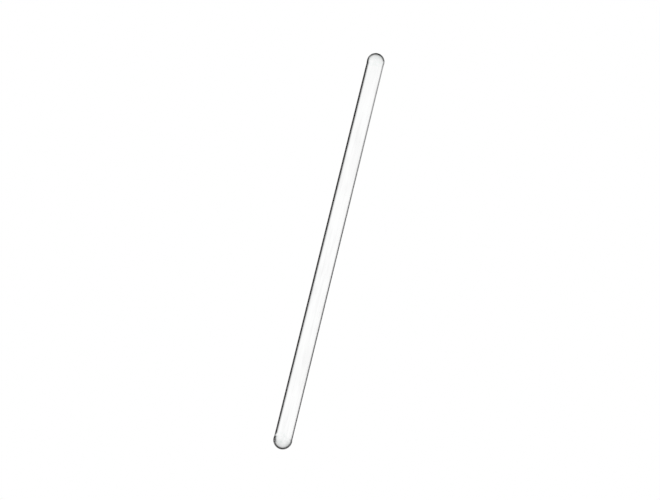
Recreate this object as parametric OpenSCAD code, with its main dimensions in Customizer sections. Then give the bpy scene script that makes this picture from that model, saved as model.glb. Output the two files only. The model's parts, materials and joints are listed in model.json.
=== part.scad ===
// Laboratory stirring rod: one length of drawn glass rod with both ends flame polished.
// The rod lies along Z, with the middle of its length at the origin. Sizes are in millimetres.

/* [Shank] */
// Overall length, from the crown of one end to the crown of the other
rod_len = 200; // [100:1:400]
// Diameter of the drawn shank
shank_d = 8; // [3:0.5:16]

/* [Polished ends] */
// How far the molten bead swells beyond the shank, all round
bead_swell = 0.09; // [0.02:0.01:0.6]
// Radius of the hollow curve in which the bead runs out into the shank
runout_r = 20; // [5:1:60]

/* [Hidden] */
$fn = 192;

glass_colour = [0.88, 0.94, 0.92, 0.45];

// How far the run-out's circle laps the bead's. Two circles that only touched would leave no
// clean edge between the surfaces turned from them
lap = 0.001;

shank_r = shank_d / 2;
bead_r = shank_r + bead_swell;

// Height of the bead's centre above the middle of the rod
bead_z = rod_len / 2 - bead_r;

// The run-out's circle touches the shank's side and the bead's circle from outside, so its
// centre lies runout_r beyond the one, and both radii away from the bead's centre
runout_x = shank_r + runout_r;
runout_drop = sqrt(pow(bead_r + runout_r - lap, 2) - pow(runout_x, 2));

// Height at which the straight shank ends and the run-out begins
shank_end_z = bead_z - runout_drop;

// Half of the straight shank's section, from the middle of the rod upwards
module shank_section() {
    square([shank_r, shank_end_z]);
}

// Half of the run-out's section. Its upper edge lies on the line between the centres of the
// bead and of the run-out, which goes through the point where the two circles touch
module runout_section() {
    difference() {
        polygon([[0, shank_end_z], [runout_x, shank_end_z], [0, bead_z]]);
        translate([runout_x, shank_end_z])
            circle(r = runout_r);
    }
}

// Half of the bead's section. What lies below the bead's widest part is inside the run-out
module bead_section() {
    intersection() {
        translate([0, bead_z])
            circle(r = bead_r);
        translate([0, bead_z - 2 * bead_r])
            square([2 * bead_r, 4 * bead_r]);
    }
}

// Everything on one side of the rod's middle
module end_section() {
    shank_section();
    runout_section();
    bead_section();
}

// The rod is one solid of revolution, and both of its ends are alike
module rod() {
    color(glass_colour)
        rotate_extrude() {
            end_section();
            mirror([0, 1])
                end_section();
        }
}

rod();
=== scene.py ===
"""Looks of a glass stirring rod: drawn, flame-polished glass against a white background."""
import json
import math

import bmesh
import bpy
from mathutils import Matrix, Vector

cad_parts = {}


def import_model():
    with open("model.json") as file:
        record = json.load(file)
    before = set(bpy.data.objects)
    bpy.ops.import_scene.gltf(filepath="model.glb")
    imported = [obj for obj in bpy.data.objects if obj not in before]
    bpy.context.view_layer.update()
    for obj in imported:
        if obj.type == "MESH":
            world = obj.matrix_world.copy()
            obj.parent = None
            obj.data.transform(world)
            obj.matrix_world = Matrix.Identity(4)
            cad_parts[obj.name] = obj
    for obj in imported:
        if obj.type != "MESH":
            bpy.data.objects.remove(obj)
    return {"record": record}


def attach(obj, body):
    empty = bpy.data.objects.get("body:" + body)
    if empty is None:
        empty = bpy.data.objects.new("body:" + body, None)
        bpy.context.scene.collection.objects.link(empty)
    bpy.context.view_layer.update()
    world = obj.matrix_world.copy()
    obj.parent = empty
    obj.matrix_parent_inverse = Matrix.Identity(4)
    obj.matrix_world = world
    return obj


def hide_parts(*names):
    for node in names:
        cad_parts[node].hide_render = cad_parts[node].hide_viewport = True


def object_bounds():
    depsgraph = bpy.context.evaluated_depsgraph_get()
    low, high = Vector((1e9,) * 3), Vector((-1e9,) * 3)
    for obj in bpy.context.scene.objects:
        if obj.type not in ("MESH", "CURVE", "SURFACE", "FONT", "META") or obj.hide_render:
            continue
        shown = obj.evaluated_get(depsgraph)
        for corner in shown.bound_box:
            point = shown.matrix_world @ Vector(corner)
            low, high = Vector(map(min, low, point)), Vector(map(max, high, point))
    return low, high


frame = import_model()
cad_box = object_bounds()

MM = 0.001
low, high = cad_box

# The camera stands where the photographer stood. The rod's top leans away from it, so from the
# rod's own upright frame it looks up along the rod, and it is rolled by the lean to the right.
LOOK_UP = math.radians(25.9)
ROLL = math.radians(13.8)
CAMERA_DISTANCE = 1.293
AIM_DROP = 0.0026
AIM_RIGHT = 0.00025
VIEW_WIDTH = math.radians(12.9)
SENSOR_WIDTH = 36

# The form of the ends, as the solid has it
BEAD_SWELL = 0.09 * MM
RUNOUT_R = 20 * MM

# How finely the mesh is divided, round the rod and along its upper half
SEGMENTS = 256
DOME_RINGS = 48
RUNOUT_RINGS = 12
SHANK_RINGS = 96

# The glass. Each tint below is painted shade: it goes from face on, 0, to edge on, 1, and says
# how light the glass is painted there. The dark at the rim is painted into the glass's colour and
# stands for the darker room that a rod gathers from beyond the white.
GLASS_IOR = 1.47
GLASS_DEPTH_COLOUR = (0.55, 0.8, 0.72, 1)
GLASS_DEPTH_DENSITY = 1.2
SHANK_PAINTED_SHADE_BY_ANGLE = ((0.1, 1.0), (0.3, 0.985), (0.46, 0.92), (0.55, 0.26), (0.61, 0.03))
DOME_PAINTED_SHADE_BY_ANGLE = (
    (0.0, 1.0), (0.1, 0.99), (0.17, 0.96), (0.28, 0.88), (0.36, 0.68), (0.43, 0.2), (0.51, 0.02))
CROWN_PAINTED_SHADE_BY_ANGLE = (
    (0.0, 1.0), (0.1, 0.9), (0.17, 0.77), (0.25, 0.64), (0.33, 0.44), (0.4, 0.09), (0.47, 0.0))
LAMP_TINT = ((0.0, 0.97), (0.3, 0.9), (0.6, 0.5), (0.9, 0.3))

# Where on the bead each look takes over, from its start to its end. 0 is the height of the bead's
# centre and 1 is its crown.
SHANK_TO_DOME = (-0.2, 0.1)
DOME_TO_CROWN = (0.0, 0.7)
# The crown is darkened by painted shade, which rises over this span of the bead to this strength.
CROWN_PAINTED_SHADE_RISE = (0.1, 0.5)
CROWN_PAINTED_SHADE = 0.84
MOTTLE_RISE = (-0.8, 0.0)

# Draw lines run along the rod, mottling shows in the beads, and handling dulls the polish a little.
# Each is noise from 0 to 1, and its tint or its rise goes by that.
DRAW_LINE_SIZE = (0.9 * MM, 0.9 * MM, 20 * MM)
DRAW_LINE_TINT = ((0.35, 0.9), (0.48, 1.0), (0.54, 1.0), (0.66, 0.94))
DRAW_LINE_DEPTH = 0.01 * MM
DRAW_LINE_STRENGTH = 0.6
MOTTLE_SIZE = (1.1 * MM, 1.1 * MM, 1.1 * MM)
MOTTLE_TINT = ((0.36, (0.84, 0.9, 0.88)), (0.5, (1.0, 1.0, 1.0)))
HANDLED_SIZE = (6 * MM, 6 * MM, 14 * MM)
HANDLED_RISE = (0.45, 0.7)
HANDLED_ROUGHNESS = 0.03
WHITE = (1.0, 1.0, 1.0)

# The light and the floor
AMBIENT = 0.6
SUN_STRENGTH = 1.6
SUN_WIDTH = math.radians(25)
SUN_FROM = Vector((-0.45, -0.35, 0.9))
FLOOR_HALF = 6
FLOOR_ALBEDO = 0.8
FLOOR_SHOWN = 1.01

# The grey cards round the rod, and how light each is. Bearings are 0 straight behind the rod and
# + to the right: a card's two ends are in degrees, and its tones go by hundreds of degrees.
SCREEN_R = 1.0
SCREEN_LOW = 0.28
SCREEN_HIGH = 0.9
SCREEN_FOLDS = 48
DARK_SCREEN_SPAN = (25, 112)
DARK_SCREEN_TONE = ((0.3, 1.0), (0.355, 0.86), (0.405, 0.58), (0.45, 0.2), (0.49, 0.0))
TIP_LIFT_RISE = (0.645, 0.677)
TIP_LIFT = 0.15
LEFT_SCREEN_SPAN = (-80, -24)
LEFT_SCREEN_TONE = ((0.26, 0.5), (0.32, 0.02))

# These two cards' tones go by the height, and by the place along and across the card
RIGHT_SCREEN_SPAN = (2, 80)
RIGHT_SCREEN_HIGH = 1.5
RIGHT_SCREEN_TONE = ((0.5, 0.02), (0.66, 1.0), (0.7, 1.0), (0.745, 0.25))
OVERHEAD_CENTRE = Vector((0, 0.45, 0.8))
OVERHEAD_HALF_X = 0.5
OVERHEAD_HALF_Y = 0.55
OVERHEAD_ALONG_TONE = ((0.85, 0.02), (1.0, 0.3))
OVERHEAD_ACROSS_TONE = ((0.2, 0.3), (0.45, 0.02), (0.6, 0.02), (0.9, 0.5))

# The bowl starts just clear of the rod's foot and is white there, as the floor is
BOWL_HOLE_R = 0.012
BOWL_FADE = 0.025
BOWL_DARK = 0.03

# Light is followed through this many turns, so that the beads' many inner reflections end in
# what stands round the rod and not in black
BOUNCES = 64


def camera():
    """The photograph's viewpoint, held as a location and a rolled look-at."""
    cam = bpy.data.objects.new("camera", bpy.data.cameras.new("camera"))
    bpy.context.collection.objects.link(cam)
    cam.data.sensor_width = SENSOR_WIDTH
    cam.data.angle = VIEW_WIDTH
    back = Vector((0, -math.cos(LOOK_UP), -math.sin(LOOK_UP)))
    turn = (-back).to_track_quat("-Z", "Y").to_matrix() @ Matrix.Rotation(ROLL, 3, "Z")
    aim = (low + high) / 2 - Vector((0, 0, AIM_DROP)) + turn @ Vector((AIM_RIGHT, 0, 0))
    cam.matrix_world = Matrix.Translation(aim + back * CAMERA_DISTANCE) @ turn.to_4x4()
    bpy.context.scene.camera = cam


def rod_profile(shank_r, half):
    """(radius, height) down the upper half of the rod, from below the crown to the middle."""
    bead_r = shank_r + BEAD_SWELL
    bead_z = half - bead_r
    runout_x = shank_r + RUNOUT_R
    drop = math.sqrt((bead_r + RUNOUT_R) ** 2 - runout_x ** 2)
    lean = math.asin(drop / (bead_r + RUNOUT_R))
    points = []
    for i in range(1, DOME_RINGS + 1):
        a = math.pi / 2 - (math.pi / 2 + lean) * i / DOME_RINGS
        points.append((bead_r * math.cos(a), bead_z + bead_r * math.sin(a)))
    for i in range(1, RUNOUT_RINGS + 1):
        a = lean * (1 - i / RUNOUT_RINGS)
        points.append((runout_x - RUNOUT_R * math.cos(a), bead_z - drop + RUNOUT_R * math.sin(a)))
    shank_end = bead_z - drop
    for i in range(1, SHANK_RINGS + 1):
        points.append((shank_r, shank_end * (1 - i / SHANK_RINGS)))
    return points


def lathe(name, profile, crown):
    """A closed mesh turned about Z from the upper half's profile and its mirror image."""
    rings = profile + [(r, -z) for r, z in reversed(profile[:-1])]
    bm = bmesh.new()
    top = bm.verts.new((0, 0, crown))
    bottom = bm.verts.new((0, 0, -crown))
    turned = []
    for r, z in rings:
        ring = []
        for k in range(SEGMENTS):
            a = 2 * math.pi * k / SEGMENTS
            ring.append(bm.verts.new((r * math.cos(a), r * math.sin(a), z)))
        turned.append(ring)
    for k in range(SEGMENTS):
        n = (k + 1) % SEGMENTS
        bm.faces.new((top, turned[0][k], turned[0][n]))
        bm.faces.new((bottom, turned[-1][n], turned[-1][k]))
        for upper, lower in zip(turned, turned[1:]):
            bm.faces.new((upper[k], lower[k], lower[n], upper[n]))
    mesh = bpy.data.meshes.new(name)
    bm.to_mesh(mesh)
    bm.free()
    mesh.shade_smooth()
    piece = bpy.data.objects.new(name, mesh)
    bpy.context.collection.objects.link(piece)
    return piece


def add(nt, kind, **values):
    """A node of that kind. values are its own settings, or its inputs by name."""
    node = nt.nodes.new("ShaderNode" + kind)
    for key, value in values.items():
        key = key.replace("_", " ") if key.replace("_", " ") in node.inputs else key
        if key in node.inputs:
            node.inputs[key].default_value = value
        else:
            setattr(node, key, value)
    return node


def steps(nt, source, low_in, high_in, low_out, high_out, smooth=True):
    """source taken from one range to another, smoothly or straight, and held at the ends."""
    node = add(nt, "MapRange", interpolation_type="SMOOTHSTEP" if smooth else "LINEAR")
    nt.links.new(source, node.inputs["Value"])
    limits = {"From Min": low_in, "From Max": high_in, "To Min": low_out, "To Max": high_out}
    for name, value in limits.items():
        node.inputs[name].default_value = value
    return node.outputs["Result"]


def maths(nt, operation, a, b=0):
    """The operation done on a and b, which are numbers or outputs of other nodes."""
    node = add(nt, "Math", operation=operation)
    for socket, x in zip(node.inputs, (a, b)):
        if isinstance(x, (int, float)):
            socket.default_value = x
        else:
            nt.links.new(x, socket)
    return node.outputs[0]


def ramp(nt, source, *stops):
    """source through a colour ramp whose stops are (position, grey or colour)."""
    node = add(nt, "ValToRGB")
    elements = node.color_ramp.elements
    while len(elements) < len(stops):
        elements.new(0.5)
    for element, (position, tone) in zip(elements, stops):
        element.position = position
        element.color = (*tone, 1) if isinstance(tone, tuple) else (tone, tone, tone, 1)
    nt.links.new(source, node.inputs["Fac"])
    return node.outputs["Color"]


def blend(nt, how_far, a, b, mode="MIX"):
    """Colours a and b mixed in that mode. Each of the three is a value or another node's output."""
    node = add(nt, "Mix", data_type="RGBA", blend_type=mode)
    factor = [i for i in node.inputs if i.name == "Factor" and i.type == "VALUE"][0]
    first = [i for i in node.inputs if i.name == "A" and i.type == "RGBA"][0]
    second = [i for i in node.inputs if i.name == "B" and i.type == "RGBA"][0]
    for socket, x in ((factor, how_far), (first, a), (second, b)):
        if isinstance(x, (int, float)):
            socket.default_value = x
        elif isinstance(x, tuple):
            socket.default_value = (*x, 1)
        else:
            nt.links.new(x, socket)
    return [o for o in node.outputs if o.type == "RGBA"][0]


def noise(nt, place, size, detail):
    """Seedless noise from 0 to 1 over a place that is first divided by size, a vector."""
    spread = add(nt, "VectorMath", operation="MULTIPLY")
    spread.inputs[1].default_value = [1 / x for x in size]
    nt.links.new(place, spread.inputs[0])
    cloud = add(nt, "TexNoise", Scale=1, Detail=detail)
    nt.links.new(spread.outputs[0], cloud.inputs["Vector"])
    return cloud.outputs[0]


def glass_tint_and_painted_shade(nt, place, facing, up_the_bead, draw_lines):
    """The glass's colour: painted shade that darkens it by the angle at which it is seen, from the
    shank to the crown, and painted shade that darkens the crown, with its draw lines and its
    mottling. up_the_bead is 0 at a bead's centre and 1 at its crown."""
    # Painted shade: the glass is made darker towards its rim by the angle at which it is seen.
    shank = ramp(nt, facing, *SHANK_PAINTED_SHADE_BY_ANGLE)
    dome = ramp(nt, facing, *DOME_PAINTED_SHADE_BY_ANGLE)
    crown = ramp(nt, facing, *CROWN_PAINTED_SHADE_BY_ANGLE)
    tint_and_painted_shade = blend(nt, steps(nt, up_the_bead, *SHANK_TO_DOME, 0, 1), shank, dome)
    tint_and_painted_shade = blend(nt, steps(nt, up_the_bead, *DOME_TO_CROWN, 0, 1), tint_and_painted_shade, crown)
    # Painted shade: the crown is made darker.
    painted_crown_shade = steps(nt, up_the_bead, *CROWN_PAINTED_SHADE_RISE, 1, CROWN_PAINTED_SHADE)
    tint_and_painted_shade = blend(nt, 1, tint_and_painted_shade, painted_crown_shade, "MULTIPLY")
    tint_and_painted_shade = blend(nt, 1, tint_and_painted_shade, ramp(nt, draw_lines, *DRAW_LINE_TINT), "MULTIPLY")
    spots = ramp(nt, noise(nt, place, MOTTLE_SIZE, detail=2), *MOTTLE_TINT)
    spots = blend(nt, steps(nt, up_the_bead, *MOTTLE_RISE, 0, 1), WHITE, spots)
    return blend(nt, 1, tint_and_painted_shade, spots, "MULTIPLY")


def drawn_glass(shank_r, half):
    """Clear borosilicate: bright through the middle, and darker to the rim, partly where the glass
    gathers the dark cards that stand beyond the white and partly by shade painted into its colour.
    The lengthwise draw lines show faintly."""
    material = bpy.data.materials.new("drawn_glass")
    material.use_nodes = True
    nt = material.node_tree
    shader = nt.nodes["Principled BSDF"]
    shader.inputs["IOR"].default_value = GLASS_IOR
    shader.inputs["Transmission Weight"].default_value = 1
    place = add(nt, "TexCoord").outputs["Object"]
    parts = add(nt, "SeparateXYZ")
    nt.links.new(place, parts.inputs[0])
    facing = add(nt, "LayerWeight", Blend=0.5).outputs["Facing"]
    bead_r = shank_r + BEAD_SWELL
    above_bead_centre = maths(nt, "SUBTRACT", maths(nt, "ABSOLUTE", parts.outputs["Z"]), half - bead_r)
    up_the_bead = maths(nt, "DIVIDE", above_bead_centre, bead_r)
    draw_lines = noise(nt, place, DRAW_LINE_SIZE, detail=3)
    # The base colour holds painted shade at the rim and on the crown, with the draw lines and
    # mottling.
    tint_and_painted_shade = glass_tint_and_painted_shade(nt, place, facing, up_the_bead, draw_lines)
    nt.links.new(tint_and_painted_shade, shader.inputs["Base Color"])

    handled = noise(nt, place, HANDLED_SIZE, detail=4)
    roughness = steps(nt, handled, *HANDLED_RISE, 0, HANDLED_ROUGHNESS)
    nt.links.new(roughness, shader.inputs["Roughness"])
    waves = add(nt, "Bump", Strength=DRAW_LINE_STRENGTH, Distance=DRAW_LINE_DEPTH)
    nt.links.new(draw_lines, waves.inputs["Height"])
    nt.links.new(waves.outputs["Normal"], shader.inputs["Normal"])

    depth = add(nt, "VolumeAbsorption", Color=GLASS_DEPTH_COLOUR, Density=GLASS_DEPTH_DENSITY)
    out = nt.nodes["Material Output"]
    nt.links.new(depth.outputs[0], out.inputs["Volume"])

    # The lamp's light goes straight through, so the floor gets a pale shadow and not a black one
    lamp_light = add(nt, "BsdfTransparent")
    nt.links.new(ramp(nt, facing, *LAMP_TINT), lamp_light.inputs["Color"])
    through = add(nt, "MixShader")
    nt.links.new(add(nt, "LightPath").outputs["Is Shadow Ray"], through.inputs[0])
    nt.links.new(shader.outputs[0], through.inputs[1])
    nt.links.new(lamp_light.outputs[0], through.inputs[2])
    nt.links.new(through.outputs[0], out.inputs["Surface"])
    return material


def shown(nt):
    """1 for what the camera sees straight, mirrored or through glass, and 0 for light on things."""
    path = add(nt, "LightPath")
    either = maths(nt, "MAXIMUM", path.outputs["Is Glossy Ray"], path.outputs["Is Transmission Ray"])
    return maths(nt, "MAXIMUM", path.outputs["Is Camera Ray"], either)


def world():
    """White where it shows, and a plain grey as light."""
    w = bpy.data.worlds.new("studio")
    bpy.context.scene.world = w
    w.use_nodes = True
    nt = w.node_tree
    background = nt.nodes["Background"]
    background.inputs["Color"].default_value = (1, 1, 1, 1)
    strength = steps(nt, shown(nt), 0, 1, AMBIENT, 1, smooth=False)
    nt.links.new(strength, background.inputs["Strength"])


def sun():
    """One broad soft lamp, above and behind the photographer's left shoulder."""
    lamp = bpy.data.objects.new("soft_lamp", bpy.data.lights.new("soft_lamp", "SUN"))
    bpy.context.collection.objects.link(lamp)
    lamp.data.energy = SUN_STRENGTH
    lamp.data.angle = SUN_WIDTH
    lamp.visible_glossy = False
    lamp.visible_transmission = False
    lamp.matrix_world = SUN_FROM.to_track_quat("Z", "Y").to_matrix().to_4x4()


def staged(name, corners, faces):
    """A card of those corners and faces, which isn't part of the rod."""
    mesh = bpy.data.meshes.new(name)
    mesh.from_pydata(corners, [], faces)
    card = bpy.data.objects.new(name, mesh)
    bpy.context.collection.objects.link(card)
    return card


def level_plane(name, centre, half_x, half_y):
    """A flat, level card that faces up."""
    x = Vector((half_x, 0, 0))
    y = Vector((0, half_y, 0))
    corners = [centre - x - y, centre + x - y, centre + x + y, centre - x + y]
    return staged(name, corners, [(0, 1, 2, 3)])


def floor(height):
    """A pale floor that shows as white but keeps the rod's shadow, and can't be seen from below."""
    ground = level_plane("floor", Vector((0, 0, height)), FLOOR_HALF, FLOOR_HALF)
    material = bpy.data.materials.new("pale_floor")
    material.use_nodes = True
    nt = material.node_tree
    nt.nodes.clear()
    matt = add(nt, "BsdfDiffuse", Color=(FLOOR_ALBEDO, FLOOR_ALBEDO, FLOOR_ALBEDO, 1))
    white = add(nt, "Emission")
    sun_share = SUN_STRENGTH * SUN_FROM.normalized().z / math.pi
    lit = FLOOR_ALBEDO * (AMBIENT + sun_share)
    top_up = steps(nt, shown(nt), 0, 1, 0, FLOOR_SHOWN - lit, smooth=False)
    nt.links.new(top_up, white.inputs["Strength"])
    both = add(nt, "AddShader")
    nt.links.new(matt.outputs[0], both.inputs[0])
    nt.links.new(white.outputs[0], both.inputs[1])
    clear = add(nt, "BsdfTransparent")
    side = add(nt, "MixShader")
    nt.links.new(add(nt, "NewGeometry").outputs["Backfacing"], side.inputs[0])
    nt.links.new(both.outputs[0], side.inputs[1])
    nt.links.new(clear.outputs[0], side.inputs[2])
    nt.links.new(side.outputs[0], add(nt, "OutputMaterial").inputs["Surface"])
    ground.data.materials.append(material)


def grey_card(card, tone, hidden):
    """Makes a staged card seen only in or through the glass. tone(nt, place) gives its grey, and
    hidden is the one of glossy and transmission rays that doesn't see it."""
    for ray in ("camera", "diffuse", "shadow", hidden):
        setattr(card, "visible_" + ray, False)
    material = bpy.data.materials.new(card.name)
    material.use_nodes = True
    nt = material.node_tree
    nt.nodes.clear()
    grey = add(nt, "Emission")
    parts = add(nt, "SeparateXYZ")
    nt.links.new(add(nt, "TexCoord").outputs["Object"], parts.inputs[0])
    nt.links.new(tone(nt, parts.outputs), grey.inputs["Color"])
    nt.links.new(grey.outputs[0], add(nt, "OutputMaterial").inputs["Surface"])
    card.data.materials.append(material)


def screen(name, span, lower, upper, tone, hidden):
    """A card bent round the rod over a span of bearings. Its lower and its upper edge are given as
    (radius, height)."""
    first, last = span
    corners = []
    for k in range(SCREEN_FOLDS + 1):
        a = math.radians(first + (last - first) * k / SCREEN_FOLDS)
        for radius, height in (lower, upper):
            corners.append((radius * math.sin(a), radius * math.cos(a), height))
    faces = [(2 * k, 2 * k + 2, 2 * k + 3, 2 * k + 1) for k in range(SCREEN_FOLDS)]
    grey_card(staged(name, corners, faces), tone, hidden)


def bearing(nt, place):
    """The bearing of a place, in hundreds of degrees."""
    return maths(nt, "MULTIPLY", maths(nt, "ARCTAN2", place["X"], place["Y"]), math.degrees(1) / 100)


def dark_tone(nt, place):
    """What the rod's left line gathers: white at its inner side, dark further out, and not as
    dark towards the tip."""
    side = ramp(nt, bearing(nt, place), *DARK_SCREEN_TONE)
    lift = steps(nt, place["Z"], *TIP_LIFT_RISE, 0, TIP_LIFT)
    return blend(nt, lift, side, WHITE)


def left_tone(nt, place):
    """What the left edge mirrors: mid grey where it is nearest to straight behind, then dark."""
    return ramp(nt, maths(nt, "ABSOLUTE", bearing(nt, place)), *LEFT_SCREEN_TONE)


def right_tone(nt, place):
    """What the right edge mirrors: dark for the rod's lower part, white for its upper part, and
    grey again for the bead."""
    return ramp(nt, place["Z"], *RIGHT_SCREEN_TONE)


def overhead_tone(nt, place):
    """What the crown mirrors: dark, and grey at the far edge and to both sides."""
    along = ramp(nt, place["Y"], *OVERHEAD_ALONG_TONE)
    across = ramp(nt, maths(nt, "ADD", place["X"], OVERHEAD_HALF_X), *OVERHEAD_ACROSS_TONE)
    return blend(nt, 1, along, across, "LIGHTEN")


def bowl_tone(nt, place):
    """What both edges mirror in views from level and above: dark, and white close to the floor."""
    return steps(nt, place["Z"], low.z, low.z + BOWL_FADE, 1, BOWL_DARK)


def cards():
    """The dark room beyond the white. The dark screen is seen through the glass, and the others
    are mirrored in its surface. The photograph's viewpoint shows nothing from below the screens'
    feet, so the bowl that goes on from there to the floor is for views from level and above."""
    foot = (SCREEN_R, SCREEN_LOW)
    head = (SCREEN_R, SCREEN_HIGH)
    right_head = (SCREEN_R, RIGHT_SCREEN_HIGH)
    screen("dark_screen", DARK_SCREEN_SPAN, foot, head, dark_tone, "glossy")
    screen("left_screen", LEFT_SCREEN_SPAN, foot, head, left_tone, "transmission")
    screen("right_screen", RIGHT_SCREEN_SPAN, foot, right_head, right_tone, "transmission")
    screen("low_bowl", (-180, 180), (BOWL_HOLE_R, low.z), foot, bowl_tone, "transmission")
    overhead = level_plane("overhead_card", OVERHEAD_CENTRE, OVERHEAD_HALF_X, OVERHEAD_HALF_Y)
    grey_card(overhead, overhead_tone, "transmission")


camera()
record = frame["record"]
shank_r = record["mounts"][0]["dims"]["r_mm"] * MM
half = high.z
rod = lathe("stirring_rod", rod_profile(shank_r, half), half)
rod.data.materials.append(drawn_glass(shank_r, half))
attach(rod, "root")
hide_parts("rod")

world()
sun()
floor(low.z)
cards()

scene = bpy.context.scene
scene.view_settings.view_transform = "Standard"
scene.cycles.caustics_refractive = False
scene.cycles.caustics_reflective = False
scene.cycles.max_bounces = BOUNCES
scene.cycles.transmission_bounces = BOUNCES
scene.cycles.glossy_bounces = BOUNCES
